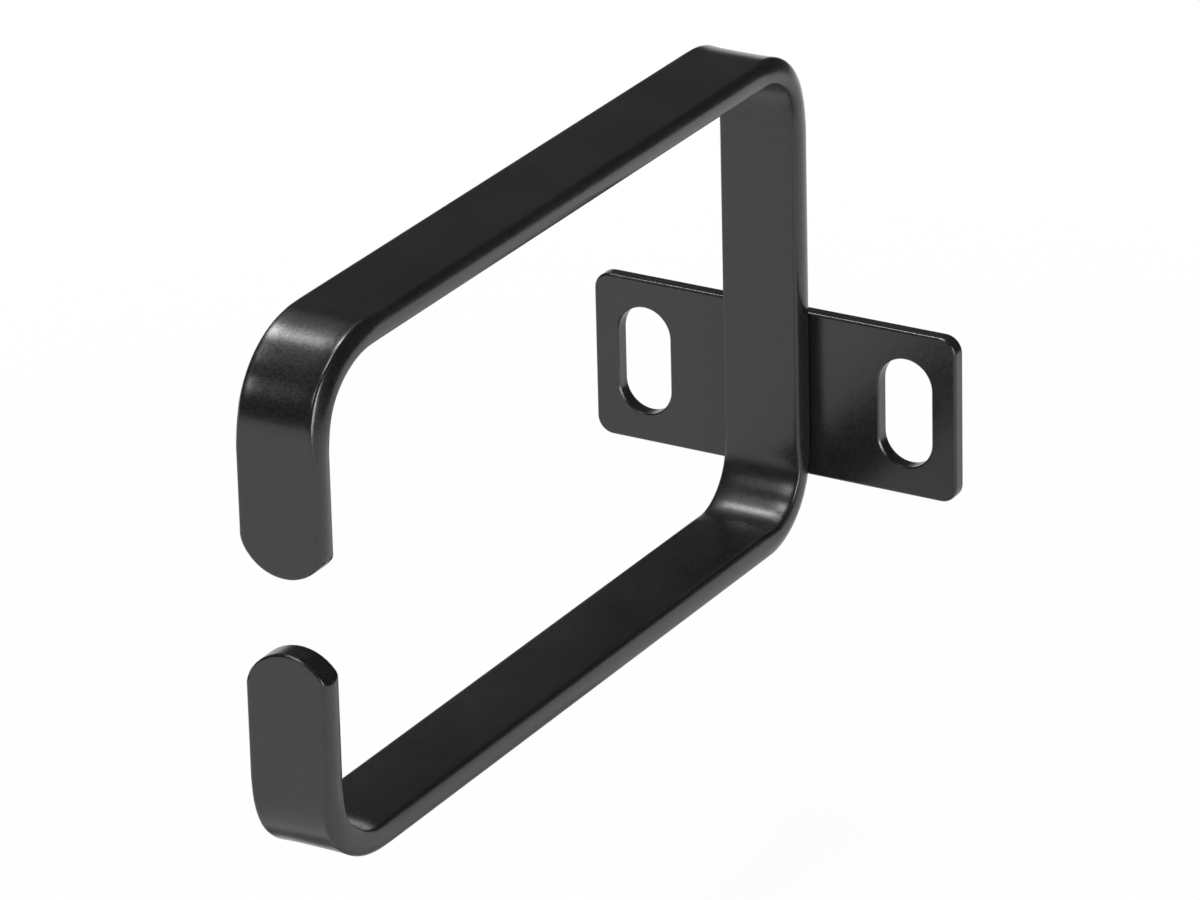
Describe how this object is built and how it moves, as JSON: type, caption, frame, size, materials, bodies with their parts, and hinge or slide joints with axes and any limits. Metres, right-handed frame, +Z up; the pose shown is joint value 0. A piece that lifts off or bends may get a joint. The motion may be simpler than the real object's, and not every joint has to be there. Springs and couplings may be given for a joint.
{
  "type": "rack d-ring cable hook",
  "caption": "Open rectangular ring of flat steel bar on a slotted mounting plate, for guiding cables along a rack rail.",
  "frame": {"origin": "centre of the mounting plate's back face, which lies on the rack rail", "axes": "+Y points out of the plate's back into the rail and the ring stands out towards -Y, +Z is up along the rail, +X is across the rail"},
  "size_m": [0.044, 0.0992, 0.0559],
  "materials": {
    "black_powder_coat": "satin"
  },
  "bodies": {
    "root": {"d_ring": "black_powder_coat", "mounting_plate": "black_powder_coat"}
  },
  "joints": []
}
